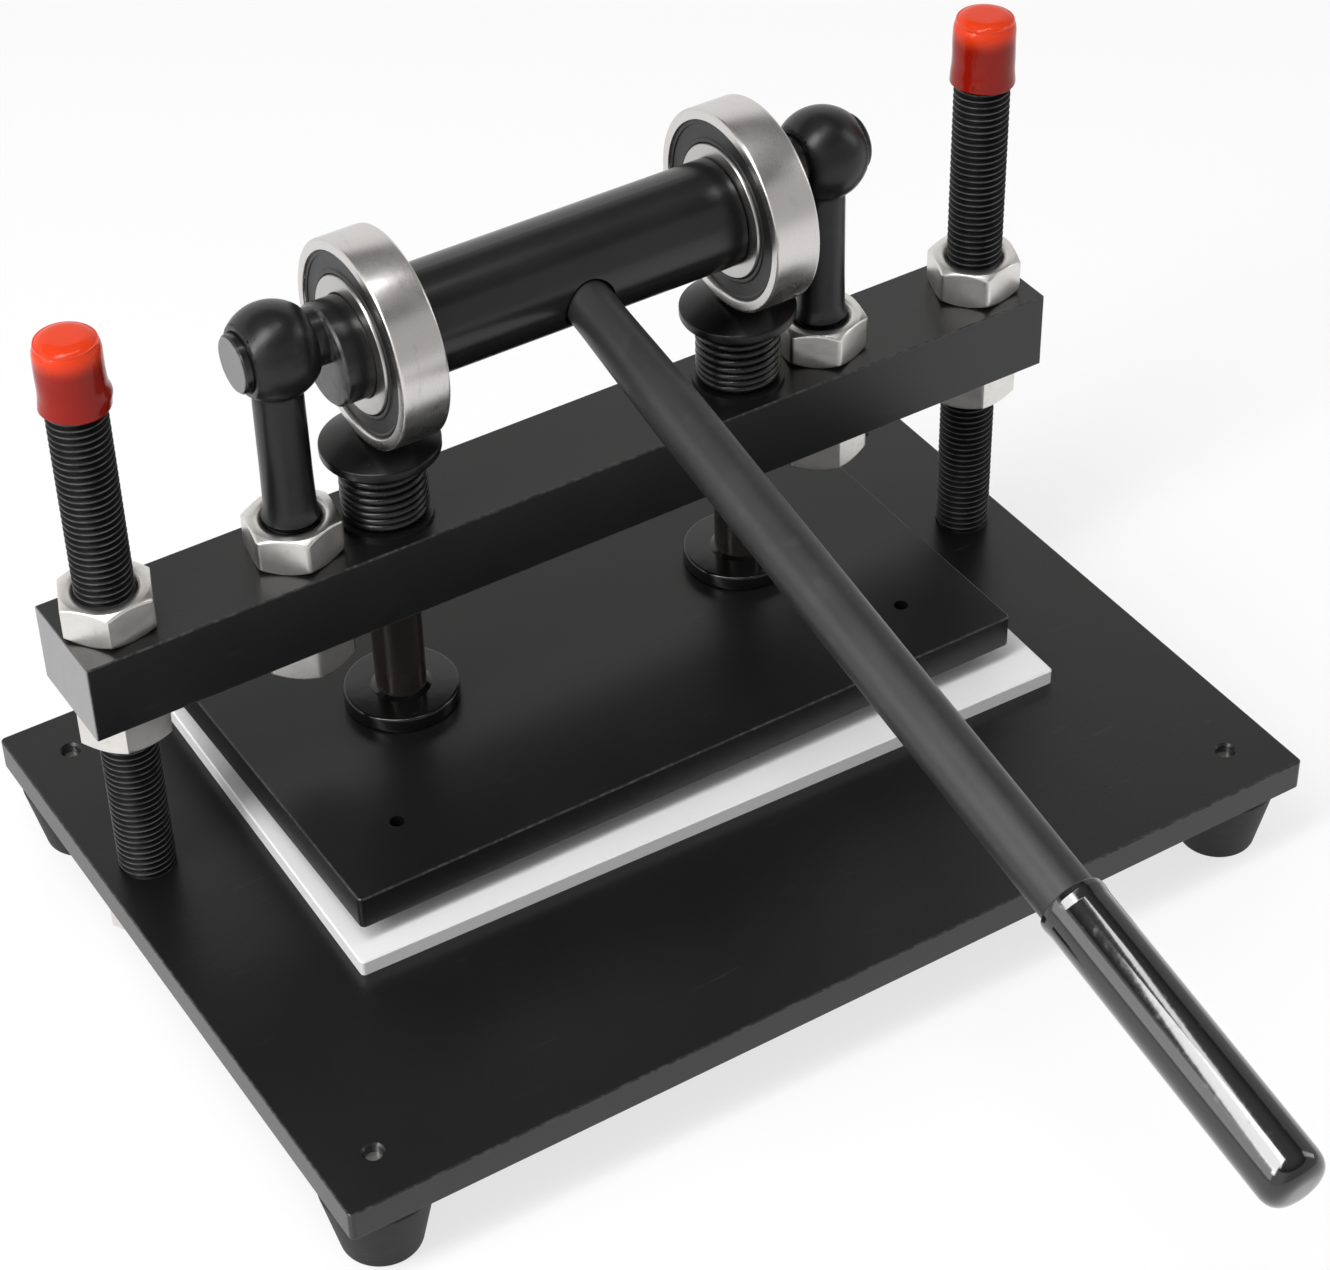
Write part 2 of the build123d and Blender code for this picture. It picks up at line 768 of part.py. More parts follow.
print(f"base centre y {base_y:.3f}, beam y {beam_y:.3f}, shaft y {cam_y:.3f} z {cam_z:.3f}")
print(f"pin z {pin_z:.2f}, head top {head_top:.3f}, roller bottom {cam_z - bearing_radius:.3f}")
print(f"follow ratio {follow_ratio:.4f} mm per radian, spring from {spring_bottom:.3f} to {head_bottom:.3f}")
print(f"plate {plate_bottom:.2f} to {plate_top:.2f}, board top {board_top:.2f}, cap top {cap_top_z:.2f}")
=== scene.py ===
"""Looks of the die cutting press: its detailed pieces, finishes, studio and camera."""

from math import atan2, cos, exp, log, pi, radians, sin, sqrt, tan

import bmesh
import bpy
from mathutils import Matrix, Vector


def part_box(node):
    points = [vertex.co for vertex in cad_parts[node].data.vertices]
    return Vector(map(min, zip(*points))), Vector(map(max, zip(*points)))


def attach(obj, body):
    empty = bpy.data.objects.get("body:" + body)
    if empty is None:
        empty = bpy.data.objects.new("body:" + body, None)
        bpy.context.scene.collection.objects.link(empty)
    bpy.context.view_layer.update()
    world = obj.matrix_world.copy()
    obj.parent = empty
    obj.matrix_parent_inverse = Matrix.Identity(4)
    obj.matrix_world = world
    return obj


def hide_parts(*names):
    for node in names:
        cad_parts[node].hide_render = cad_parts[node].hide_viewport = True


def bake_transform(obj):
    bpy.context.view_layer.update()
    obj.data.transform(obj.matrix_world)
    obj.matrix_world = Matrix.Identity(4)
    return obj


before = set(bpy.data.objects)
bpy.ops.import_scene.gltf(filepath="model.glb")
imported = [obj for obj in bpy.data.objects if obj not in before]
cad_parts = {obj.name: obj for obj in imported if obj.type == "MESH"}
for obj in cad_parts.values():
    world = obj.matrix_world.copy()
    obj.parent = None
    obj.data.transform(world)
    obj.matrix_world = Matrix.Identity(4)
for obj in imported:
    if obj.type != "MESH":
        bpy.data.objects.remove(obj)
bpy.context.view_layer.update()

MM = 0.001

# Sizes in millimetres and turns in degrees, the same as in the part's source
COLUMN_RADIUS = 10.0
COLUMN_EDGE = 1.5
NUT_FLATS = 30.0
NUT_BORE_BEVEL = 1.5
NUT_BEVEL_RISE = 1.6
NUT_BEVEL_INSET = 0.3
THREAD_GAP = 0.05
SNUG_GAP = 0.02
COLUMN_NUT_TURNS = (8.0, 12.0)
EYE_NUT_TURNS = (21.0, 21.0)
EYE_RADIUS = 16.5
EYE_HALF_WIDTH = 11.4
EYE_SHANK_RADIUS = 8.5
JOURNAL_RADIUS = 10.0
SEATS_HALF_SPAN = 89.0
POST_RADIUS = 9.0
HEAD_DOME_RISE = 5.1
HEAD_SPIGOT_RADIUS = 6.0
HEAD_SPIGOT_HEIGHT = 5.0
BEARING_RADIUS = 36.0
BEARING_EDGE = 1.1
OUTER_LAND_RADIUS = 31.8
INNER_LAND_RADIUS = 23.8
SEAT_RADIUS = 17.5
BALL_GROOVE_RADIUS = 5.7
SEAL_INSET = 0.7
SEAL_THICK = 1.2
SPRING_RADIUS = 13.7
SPRING_WIRE = 2.6
LEVER_ANGLE = 12.5
LEVER_RADIUS = 9.5
LEVER_LENGTH = 392.5
LEVER_ROOT = 8.0
LEVER_STUB_RADIUS = 6.0
LEVER_STUB_END = -12.0
CAP_CROWN_WALL = 1.6
GRIP_START = 287.5
GRIP_WALL = 1.2
GRIP_END_WALL = 2.6

# Sizes in millimetres of what only the looks have
THREAD_PITCH = 2.5
THREAD_DEPTH = 0.6134 * THREAD_PITCH
EYE_THREAD_EDGE = 1.2
EYE_RIM_ROUND = 0.8
EYE_NECK_DEGREES = -61
EYE_NECK_HEIGHT = 4.2
EYE_CORE_RADIUS = 8.3
EYE_CORE_END = -8.0
LEVER_NECK_RADIUS = 8.5
LEVER_NECK_END = 27.0
LEVER_TAPER = 45
HUB_RADIUS = 14.4
HUB_HEIGHT = 3.5
CAP_GAP = 0.04
CAP_WALL = 0.95
CAP_ROUND = 6.0
GRIP_ROUND = 6.8
GRIP_LIP = 0.3

SIDES = ("left", "right")


def low_high(node):
    """A node's lowest and highest corner in millimetres."""
    low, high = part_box(node)
    return Vector(low) / MM, Vector(high) / MM


def middle(node):
    """The centre of a node's box in millimetres."""
    low, high = low_high(node)
    return (low + high) / 2


# ---------------------------------------------------------------- finishes

class Value:
    """One socket of a finish. Plain arithmetic on it adds the Math nodes."""

    def __init__(self, finish, socket):
        self.finish = finish
        self.socket = socket

    def math(self, operation, *terms):
        return self.finish.node("Math", {"operation": operation}, *terms)

    def __add__(self, other):
        return self.math("ADD", self, other)

    def __radd__(self, other):
        return self.math("ADD", other, self)

    def __sub__(self, other):
        return self.math("SUBTRACT", self, other)

    def __rsub__(self, other):
        return self.math("SUBTRACT", other, self)

    def __mul__(self, other):
        return self.math("MULTIPLY", self, other)

    def __rmul__(self, other):
        return self.math("MULTIPLY", other, self)

    def __pow__(self, other):
        return self.math("POWER", self, other)

    def __neg__(self):
        return self.math("MULTIPLY", self, -1.0)

    def __abs__(self):
        return self.math("ABSOLUTE", self)

    def least(self, other):
        return self.math("MINIMUM", self, other)

    def most(self, other):
        return self.math("MAXIMUM", self, other)

    def ramp(self, start, end, low=0.0, high=1.0):
        """Smooth step from low to high while this value goes from start to end."""
        return self.finish.node(
            "MapRange",
            {"interpolation_type": "SMOOTHSTEP"},
            **{"Value": self, "From Min": start, "From Max": end, "To Min": low, "To Max": high},
        )


class Finish:
    """A material or world under construction."""

    def __init__(self, name, owner=None):
        self.owner = owner or bpy.data.materials.new(name)
        self.owner.use_nodes = True
        self.tree = self.owner.node_tree
        self.tree.nodes.clear()

    def node(self, kind, settings=None, *values, output=0, **named):
        """Add a node: its settings first, then its sockets by place or by name."""
        made = self.tree.nodes.new("ShaderNode" + kind)
        for key, setting in (settings or {}).items():
            setattr(made, key, setting)
        by_place = list(zip(made.inputs, values))
        by_name = [(made.inputs[key], value) for key, value in named.items()]
        for socket, value in by_place + by_name:
            if isinstance(value, Value):
                self.tree.links.new(value.socket, socket)
            else:
                socket.default_value = value
        return Value(self, made.outputs[output]) if len(made.outputs) else None

    def place(self):
        """Position in the part at rest, in metres."""
        return self.node("TexCoord", output=3)

    def axes(self):
        """Position in the part at rest as three values in millimetres."""
        spot = self.node("VectorMath", {"operation": "SCALE"}, self.place(), Scale=1000.0)
        split = self.node("SeparateXYZ", None, spot)
        outputs = split.socket.node.outputs
        return tuple(Value(self, outputs[i]) for i in range(3))

    def noise(self, size, detail, stretch=(1, 1, 1)):
        """Noise from 0 to 1 whose grains are about size millimetres, longer where stretched."""
        scales = tuple(1000.0 / size / s for s in stretch)
        spot = self.node("VectorMath", {"operation": "MULTIPLY"}, self.place(), scales)
        return self.node("TexNoise", None, Vector=spot, Scale=1.0, Detail=detail, Roughness=0.5)

    def blend(self, amount, first, second):
        """Mix of two colours."""
        made = self.tree.nodes.new("ShaderNodeMix")
        made.data_type = "RGBA"
        for socket, value in ((made.inputs[0], amount), (made.inputs[6], first), (made.inputs[7], second)):
            if isinstance(value, Value):
                self.tree.links.new(value.socket, socket)
            else:
                socket.default_value = (*value, 1) if isinstance(value, tuple) else value
        return Value(self, made.outputs[2])

    def relief(self, height, depth):
        """Normal of a surface whose height runs from 0 to 1 over depth millimetres."""
        return self.node("Bump", None, Strength=1.0, Distance=depth * MM, Height=height)

    def finish_surface(self, colour, roughness, normal=None, **constants):
        """Close the material with one Principled shader."""
        if isinstance(colour, tuple):
            colour = (*colour, 1)
        named = {"Base Color": colour, "Roughness": roughness}
        if normal is not None:
            named["Normal"] = normal
        named.update({key.replace("_", " "): value for key, value in constants.items()})
        shader = self.node("BsdfPrincipled", None, **named)
        self.node("OutputMaterial", None, shader)
        return self.owner


def grey(level):
    """A neutral grey with a trace of blue."""
    return (level, level, level * 1.02)


def warm_grey(level):
    """The slightly yellow grey of bearing steel."""
    return (level, level * 0.975, level * 0.955)


def edge_nearness(finish, low, high, width):
    """1 on the edges of a box, fading to 0 over width millimetres on its faces."""
    gaps = [(axis - a).least(b - axis) for axis, a, b in zip(finish.axes(), low, high)]
    smaller = gaps[0].least(gaps[1])
    larger = gaps[0].most(gaps[1])
    second = smaller.most(larger.least(gaps[2]))
    return second.ramp(width, 0.0)


def satin_black_plate(name, node, end_highlight_level=None):
    """Sprayed satin black on plate steel, worn thin along its edges where a painted highlight is laid too;
    ends across x may be painted light grey, a painted highlight of the light from the left.
    """
    finish = Finish(name)
    level = 0.0055
    low, high = low_high(node)
    grain = finish.noise(0.55, 2.0)
    cloud = finish.noise(38.0, 3.0)
    scuff = finish.noise(3.0, 4.0, (9, 1.2, 1)).ramp(0.66, 0.74)
    edge = edge_nearness(finish, low, high, 1.1)
    chips = finish.noise(2.2, 4.0).ramp(0.42, 0.62)
    # Edges painted lighter: rubbed paint, and also a painted highlight along them
    rubbed_and_highlit = edge * (0.25 + 0.75 * chips)
    colour = finish.blend(cloud, grey(level * 0.85), grey(level * 1.2))
    colour = finish.blend(rubbed_and_highlit * 0.55, colour, grey(0.085))
    colour = finish.blend(scuff * 0.10, colour, grey(0.07))
    # Painted highlight: the end faces across x painted light grey in streaks, standing in for the strong
    # light from the left
    if end_highlight_level:
        x = finish.axes()[0]
        reach = abs(x).ramp(high.x - 0.35, high.x - 0.1)
        streaks = finish.noise(1.6, 3.0, (1, 1, 12))
        colour = finish.blend(reach * (0.75 + 0.25 * streaks), colour, grey(end_highlight_level))
    roughness = 0.24 + 0.07 * cloud + 0.05 * grain + 0.05 * rubbed_and_highlit
    normal = finish.relief(grain + 0.25 * finish.noise(1.8, 2.0), 0.035)
    return finish.finish_surface(colour, roughness, normal)


def satin_black_steel(name, level, roughness, grain=0.6, depth=0.02, turned=None, worn=0.3, **constants):
    """Black finish on turned steel, with faint lathe lines and rubbed spots."""
    finish = Finish(name)
    cloud = finish.noise(16.0, 3.0)
    fine = finish.noise(grain, 3.0)
    rub = finish.noise(5.0, 5.0).ramp(0.56, 0.74)
    height = fine
    if turned:
        lines = finish.noise(0.35, 2.0, turned)
        height = fine * 0.5 + lines * 0.5
    colour = finish.blend(cloud, grey(level * 0.8), grey(level * 1.3))
    colour = finish.blend(rub * worn, colour, grey(level * 3.0))
    return finish.finish_surface(
        colour, roughness - 0.05 + 0.10 * cloud + 0.05 * fine, finish.relief(height, depth), **constants
    )


def shaft_black():
    """Satin black shaft: the left journal's end face painted light grey, a painted highlight of the light
    from the left, and painted highlights broken up by noise on the seats' rims.
    """
    finish = Finish("shaft_satin_black")
    x, y, z = finish.axes()
    low, high = low_high("cam_shaft")
    cloud = finish.noise(16.0, 3.0)
    fine = finish.noise(0.5, 3.0)
    lines = finish.noise(0.35, 2.0, (1, 30, 30))
    # Painted highlight: the left journal's end face painted light grey, standing in for the light from the
    # left
    left_end_highlight = (-x).ramp(high.x - 0.3, high.x - 0.05)
    # Painted highlight: a ring of lighter grey at each seat's rim, broken up by noise
    rim = abs(abs(x) - SEATS_HALF_SPAN).ramp(0.9, 0.1) * finish.noise(3.0, 3.0).ramp(0.3, 0.6)
    colour = finish.blend(cloud, grey(0.005), grey(0.009))
    colour = finish.blend(rim * 0.5, colour, grey(0.10))
    colour = finish.blend(left_end_highlight, colour, grey(0.13))
    roughness = 0.19 + 0.07 * cloud + 0.04 * fine
    return finish.finish_surface(colour, roughness, finish.relief(fine * 0.5 + lines * 0.5, 0.02))


def polished_post():
    """Ground and blackened post, with brown oil film and long vertical streaks."""
    finish = Finish("post_polished_black")
    streak = finish.noise(1.1, 3.0, (1, 1, 40))
    film = finish.noise(9.0, 3.0, (1, 1, 4))
    colour = finish.blend(film, (0.045, 0.042, 0.038), (0.088, 0.077, 0.066))
    return finish.finish_surface(
        colour, 0.16 + 0.14 * streak, finish.relief(streak, 0.012), Metallic=0.75
    )


def gloss_black(name, level, roughness, **constants):
    """Thick glossy black over turned steel, slightly uneven."""
    finish = Finish(name)
    swell = finish.noise(7.0, 2.0)
    fine = finish.noise(0.7, 2.0)
    dust = finish.noise(1.3, 3.0).ramp(0.68, 0.76)
    colour = finish.blend(swell, grey(level * 0.9), grey(level * 1.2))
    colour = finish.blend(dust * 0.25, colour, grey(0.06))
    return finish.finish_surface(
        colour,
        roughness + 0.10 * dust + 0.05 * fine,
        finish.relief(swell * 0.9 + fine * 0.1, 0.05),
        **constants,
    )


def black_thread():
    """Oiled black oxide on a rolled thread, its crests lighter: rubbed oxide, and a painted highlight along
    them.
    """
    finish = Finish("thread_black_oxide")
    cloud = finish.noise(9.0, 3.0)
    fine = finish.noise(0.35, 3.0)
    x, y, z = finish.axes()
    radius = None
    for bolt in ("column_right", "eye_bolt_right"):
        off_axis = ((abs(x) - middle(bolt).x) ** 2.0 + (y - middle(bolt).y) ** 2.0) ** 0.5
        radius = radius.least(off_axis) if radius else off_axis
    rubbed_and_highlit = finish.noise(4.0, 4.0).ramp(0.3, 0.6, 0.35, 1.0)
    # Crests painted lighter, unevenly: rubbed oxide, and a painted highlight along the crests
    crest = radius.ramp(COLUMN_RADIUS - 0.35, COLUMN_RADIUS - 0.1) * rubbed_and_highlit
    colour = finish.blend(cloud, grey(0.002), grey(0.004))
    colour = finish.blend(crest, colour, grey(0.075))
    roughness = 0.42 - 0.14 * crest + 0.08 * cloud
    return finish.finish_surface(colour, roughness, finish.relief(fine, 0.02), Specular_IOR_Level=0.16)


def satin_nickel():
    """Zinc-nickel plate on forged nuts, softly mottled."""
    finish = Finish("nut_satin_nickel")
    cloud = finish.noise(6.0, 4.0)
    pit = finish.noise(0.5, 3.0)
    stain = finish.noise(3.2, 5.0).ramp(0.55, 0.8)
    colour = finish.blend(cloud, (0.66, 0.645, 0.615), (0.80, 0.785, 0.755))
    colour = finish.blend(stain * 0.35, colour, (0.50, 0.48, 0.44))
    roughness = 0.27 + 0.12 * cloud + 0.10 * stain
    normal = finish.relief(pit * 0.4 + finish.noise(2.5, 2.0) * 0.6, 0.05)
    return finish.finish_surface(colour, roughness, normal, Metallic=1.0)


def ground_steel(name, axis, level, roughness):
    """Ground bearing steel: fine lines that run round the bearing's axis."""
    finish = Finish(name)
    x, y, z = finish.axes()
    radius = ((y - axis[1]) ** 2.0 + (z - axis[2]) ** 2.0) ** 0.5
    lines = finish.node("TexNoise", {"noise_dimensions": "1D"}, W=(x + radius) * 9.0, Scale=1.0, Detail=3.0)
    smear = finish.noise(7.0, 3.0)
    wisp = finish.noise(2.0, 4.0, (1, 5, 5)).ramp(0.60, 0.78)
    colour = finish.blend(lines, warm_grey(level * 0.92), warm_grey(level * 1.04))
    colour = finish.blend(wisp * 0.35, colour, warm_grey(level * 0.62))
    return finish.finish_surface(
        colour, roughness + 0.07 * lines + 0.10 * smear, finish.relief(lines, 0.003), Metallic=1.0
    )


def seal_rubber(name, axis):
    """Smooth moulded seal with faint rings."""
    finish = Finish(name)
    x, y, z = finish.axes()
    radius = ((y - axis[1]) ** 2.0 + (z - axis[2]) ** 2.0) ** 0.5
    rings = finish.node("TexNoise", {"noise_dimensions": "1D"}, W=radius * 2.2, Scale=1.0, Detail=2.0)
    dust = finish.noise(4.0, 5.0)
    colour = finish.blend(dust, grey(0.006), grey(0.012))
    roughness = 0.30 + 0.14 * dust
    return finish.finish_surface(colour, roughness, finish.relief(rings, 0.05), Specular_IOR_Level=0.3)


def spring_wire_black():
    """Oiled spring wire, drawn along its length."""
    finish = Finish("spring_oiled_black")
    cloud = finish.noise(4.0, 3.0)
    fine = finish.noise(0.3, 3.0)
    colour = finish.blend(cloud, grey(0.006), grey(0.016))
    return finish.finish_surface(colour, 0.20 + 0.14 * cloud, finish.relief(fine, 0.01), Metallic=0.3)


def dipped_vinyl(name, dark, light, roughness, depth, painted_top_light=None, **constants):
    """Dipped soft vinyl: glossy, with a slow swell, a few dull marks and perhaps a painted light top,
    lighter towards the top for the light from above.
    """
    finish = Finish(name)
    swell = finish.noise(6.5, 2.0)
    fine = finish.noise(0.9, 3.0)
    dull = finish.noise(3.0, 5.0).ramp(0.58, 0.75)
    colour = finish.blend(swell, dark, light)
    # Painted light: the colour turns lighter towards the top, standing in for the light from above
    if painted_top_light:
        start, end, painted_top_colour = painted_top_light
        colour = finish.blend(finish.axes()[2].ramp(start, end), colour, painted_top_colour)
    return finish.finish_surface(
        colour, roughness + 0.16 * dull, finish.relief(swell * 0.85 + fine * 0.15, depth), **constants
    )


def foot_rubber():
    """Matt moulded rubber, slightly dusty."""
    finish = Finish("foot_moulded_rubber")
    dust = finish.noise(5.0, 5.0)
    pores = finish.noise(0.8, 4.0)
    colour = finish.blend(dust.ramp(0.35, 0.8), grey(0.009), grey(0.020))
    roughness = 0.52 + 0.18 * dust
    return finish.finish_surface(colour, roughness, finish.relief(pores, 0.10), Specular_IOR_Level=0.3)


def board_white():
    """Milled white cutting board: fine matt tooth, faint knife lines."""
    finish = Finish("board_white_plastic")
    tooth = finish.noise(0.7, 3.0)
    cloud = finish.noise(24.0, 3.0)
    knife = finish.noise(1.2, 3.0, (26, 1, 1)).ramp(0.70, 0.76)
    colour = finish.blend(cloud, (0.735, 0.735, 0.74), (0.78, 0.78, 0.785))
    colour = finish.blend(knife * 0.35, colour, (0.62, 0.62, 0.62))
    return finish.finish_surface(colour, 0.44 + 0.10 * tooth, finish.relief(tooth - 0.4 * knife, 0.05))


def plain_metal(name, dark, light, roughness, stretch=(1, 1, 1)):
    """Machined metal of a small part."""
    finish = Finish(name)
    fine = finish.noise(0.8, 3.0, stretch)
    cloud = finish.noise(5.0, 3.0)
    return finish.finish_surface(
        finish.blend(cloud, dark, light), roughness + 0.10 * fine, finish.relief(fine, 0.02), Metallic=1.0
    )


# ---------------------------------------------------------------- shapes

def piece(name, vertices, faces, material, body, slot, nodes=(), crease=38.0):
    """A mesh piece in millimetres that rides a body and stands for its CAD nodes."""
    mesh = bpy.data.meshes.new(name)
    mesh.from_pydata([Vector(v) * MM for v in vertices], [], faces)
    work = bmesh.new()
    work.from_mesh(mesh)
    bmesh.ops.remove_doubles(work, verts=work.verts, dist=1e-6)
    bmesh.ops.dissolve_degenerate(work, edges=work.edges, dist=1e-7)
    bmesh.ops.recalc_face_normals(work, faces=work.faces)
    work.to_mesh(mesh)
    work.free()
    mesh.shade_smooth()
    mesh.set_sharp_from_angle(angle=radians(crease))
    mesh.materials.append(material)
    made = bpy.data.objects.new(name, mesh)
    bpy.context.scene.collection.objects.link(made)
    if body:
        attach(made, body)
    if nodes:
        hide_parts(*nodes)
    return made


def eased(corners, steps=5):
    """Corners of a closed profile, each given as (x, y, rounding), as a smooth run of points."""
    points = []
    for index, (x, y, rounding) in enumerate(corners):
        corner = Vector((x, y))
        if not rounding:
            points.append(corner)
            continue
        before, after = corners[index - 1], corners[(index + 1) % len(corners)]
        back = Vector(before[:2]) - corner
        ahead = Vector(after[:2]) - corner
        reach = rounding / tan(back.angle(ahead) / 2)
        # A rounding takes at most half of an edge that it shares with another rounding
        for edge, neighbour in ((back, before), (ahead, after)):
            reach = min(reach, edge.length * (0.48 if neighbour[2] else 0.96))
        start = corner + back.normalized() * reach
        end = corner + ahead.normalized() * reach
        for step in range(steps + 1):
            t = step / steps
            points.append(start * (1 - t) ** 2 + corner * (2 * t * (1 - t)) + end * t * t)
    return [tuple(point) for point in points]


def bands(pairs, around):
    """Faces between pairs of rings, each ring of as many vertices as there are steps around."""
    faces = []
    for ring, ahead in pairs:
        for step in range(around):
            beside = (step + 1) % around
            faces.append((ring * around + step, ring * around + beside,
                          ahead * around + beside, ahead * around + step))
    return faces


def lathe(profile, origin, along=(0, 0, 1), around=96, reshape=None):
    """Turn a closed profile of (radius, height) points about an axis."""
    along = Vector(along).normalized()
    first = Vector((1, 0, 0)) if abs(along.x) < 0.9 else Vector((0, 1, 0))
    first = (first - along * first.dot(along)).normalized()
    second = along.cross(first)
    vertices = []
    for radius, height in profile:
        for step in range(around):
            angle = 2 * pi * step / around
            r, h = reshape(radius, height, angle) if reshape else (radius, height)
            vertices.append(Vector(origin) + along * h + (first * cos(angle) + second * sin(angle)) * r)
    count = len(profile)
    on_axis = [radius < 1e-6 for radius, height in profile]
    pairs = [(ring, (ring + 1) % count) for ring in range(count)]
    return vertices, bands([(a, b) for a, b in pairs if not (on_axis[a] and on_axis[b])], around)


def together(*meshes):
    """Several vertex and face lists as one."""
    vertices, faces = [], []
    for more_vertices, more_faces in meshes:
        start = len(vertices)
        vertices += list(more_vertices)
        faces += [tuple(start + i for i in face) for face in more_faces]
    return vertices, faces


# One pitch of a rolled metric thread: share of the pitch, share of the depth
THREAD_SHAPE = ((0.0, 0.05), (0.0625, 0.0), (0.125, 0.05), (0.28, 0.5), (0.42, 0.93), (0.5, 1.0),
                (0.5625, 1.0), (0.64, 0.93), (0.84, 0.5), (1.0, 0.05))


def thread(x, y, low, high, edge):
    """A bar with one long helical thread and bevelled ends."""
    around = 44
    share = THREAD_SHAPE[:-1]
    per_pitch = len(share)
    pitches = int((high - low) / THREAD_PITCH) + 3

    def crest(z, turn):
        phase = ((z - low) / THREAD_PITCH - turn) % 1.0
        for (a, da), (b, db) in zip(THREAD_SHAPE, THREAD_SHAPE[1:]):
            if phase <= b:
                sunk = da + (db - da) * (phase - a) / (b - a)
                break
        limit = COLUMN_RADIUS - edge + min(z - low, high - z)
        return min(COLUMN_RADIUS - THREAD_DEPTH * sunk, limit)

    vertices = []
    rows = per_pitch * pitches
    for step in range(around):
        turn = step / around
        angle = 2 * pi * turn
        for row in range(rows):
            z = low + THREAD_PITCH * (row // per_pitch - 1 + share[row % per_pitch][0] + turn)
            z = min(max(z, low), high)
            r = crest(z, turn)
            vertices.append((x + r * cos(angle), y + r * sin(angle), z))
    faces = []
    for step in range(around):
        beside = (step + 1) % around
        shift = per_pitch if beside == 0 else 0
        for row in range(rows - 1 - shift):
            a, b = step * rows + row, beside * rows + row + shift
            faces.append((a, b, b + 1, a + 1))
    # Close the bottom and the top with one point each
    bottom, top = len(vertices), len(vertices) + 1
    vertices += [(x, y, low), (x, y, high)]
    for step in range(around):
        beside = (step + 1) % around
        faces.append((bottom, beside * rows, step * rows))
        faces.append((top, step * rows + rows - 1, beside * rows + rows - 1))
    return vertices, faces


def hex_nut(x, y, bottom, height, turn):
    """A forged hexagon nut: bevelled corners that run out into the flats, and a countersunk bore."""
    around = 132
    apothem = NUT_FLATS / 2
    corner = apothem / cos(pi / 6)
    bore = COLUMN_RADIUS + THREAD_GAP
    mouth = bore + NUT_BORE_BEVEL
    bevel_start = apothem - NUT_BEVEL_INSET
    bevel_slope = (corner + 0.1 - bevel_start) / NUT_BEVEL_RISE
    softness = 0.22
    mouth_width = 1.0

    def outline(angle, height_in):
        away = (angle - radians(turn)) % (pi / 3) - pi / 6
        flat = apothem / cos(away)
        cone = bevel_start + bevel_slope * height_in
        return min(flat, cone) - softness * log(1 + exp(-abs(flat - cone) / softness))

    # Heights of the rings on the lower half, closest where the bevel runs out
    side = [0.0, 0.12, 0.3, 0.5, 0.75, 1.0, 1.25, 1.5, 1.8, 2.2, height / 2]
    rings = [("bore", bore, height / 2), ("bore", bore, NUT_BORE_BEVEL), ("bore", mouth, 0.0)]
    rings += [("bore", mouth + mouth_width, 0.0)]
    rings += [("side", h, h) for h in side]
    rings += [("side", h, height - h) for h in reversed(side[:-1])]
    rings += [("bore", mouth + mouth_width, height), ("bore", mouth, height)]
    rings += [("bore", bore, height - NUT_BORE_BEVEL)]
    vertices = []
    for kind, measure, z in rings:
        for step in range(around):
            angle = 2 * pi * step / around
            r = measure if kind == "bore" else outline(angle, measure)
            vertices.append((x + r * cos(angle), y + r * sin(angle), bottom + z))
    return vertices, bands([(ring, (ring + 1) % len(rings)) for ring in range(len(rings))], around)


# ---------------------------------------------------------------- materials of the CAD pieces that stay

nickel = satin_nickel()
thread_black = black_thread()
eye_black = satin_black_steel("eye_satin_black", level=0.007, roughness=0.28, grain=0.7, depth=0.03,
                              worn=0.35, Specular_IOR_Level=0.35)
lever_black = satin_black_steel("lever_satin_black", level=0.017, roughness=0.36, grain=0.5,
                                turned=(20, 1, 4), worn=0.25)
seat_black = satin_black_steel("washer_black", level=0.006, roughness=0.30)
head_black = gloss_black("head_gloss_black", level=0.004, roughness=0.26, Specular_IOR_Level=0.3)
flange_black = gloss_black("flange_gloss_black", level=0.004, roughness=0.10)
post_black = polished_post()
rubber = foot_rubber()
board = board_white()
screw_steel = plain_metal("screw_zinc", (0.55, 0.54, 0.52), (0.68, 0.67, 0.65), 0.30)
ball_steel = plain_metal("ball_polished", (0.70, 0.70, 0.71), (0.78, 0.78, 0.79), 0.10)
cage_steel = plain_metal("cage_pressed_steel", (0.45, 0.45, 0.45), (0.55, 0.55, 0.55), 0.30)
bush_bronze = plain_metal("bush_bronze", (0.42, 0.27, 0.12), (0.56, 0.37, 0.17), 0.30, (1, 1, 6))

stays = {
    "base_plate": satin_black_plate("base_satin_black", "base_plate"),
    "crossbeam": satin_black_plate("beam_satin_black", "crossbeam", end_highlight_level=0.19),
    "pressing_plate": satin_black_plate("platen_satin_black", "pressing_plate"),
    "cam_shaft": shaft_black(),
    "plunger_post_left": post_black,
    "plunger_post_right": post_black,
    "spring_seats": seat_black,
    "guide_bushes": bush_bronze,
    "foot_screws": screw_steel,
    "foot_washers": screw_steel,
    "plunger_screws": screw_steel,
    "cutting_board": board,
}
for side in SIDES:
    stays["bearing_balls_" + side] = ball_steel
    stays["bearing_cage_" + side] = cage_steel
    for end in ("front", "back"):
        stays[f"foot_{end}_{side}"] = rubber
for name, material in stays.items():
    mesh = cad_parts[name].data
    mesh.materials.clear()
    mesh.materials.append(material)

# ---------------------------------------------------------------- columns and nuts

beam_y = middle("crossbeam").y

for side in SIDES:
    low, high = low_high("column_" + side)
    x = (low.x + high.x) / 2
    piece("threaded_column_" + side, *thread(x, beam_y, low.z, high.z, COLUMN_EDGE), thread_black,
          "base", "black_thread", ["column_" + side], crease=75)

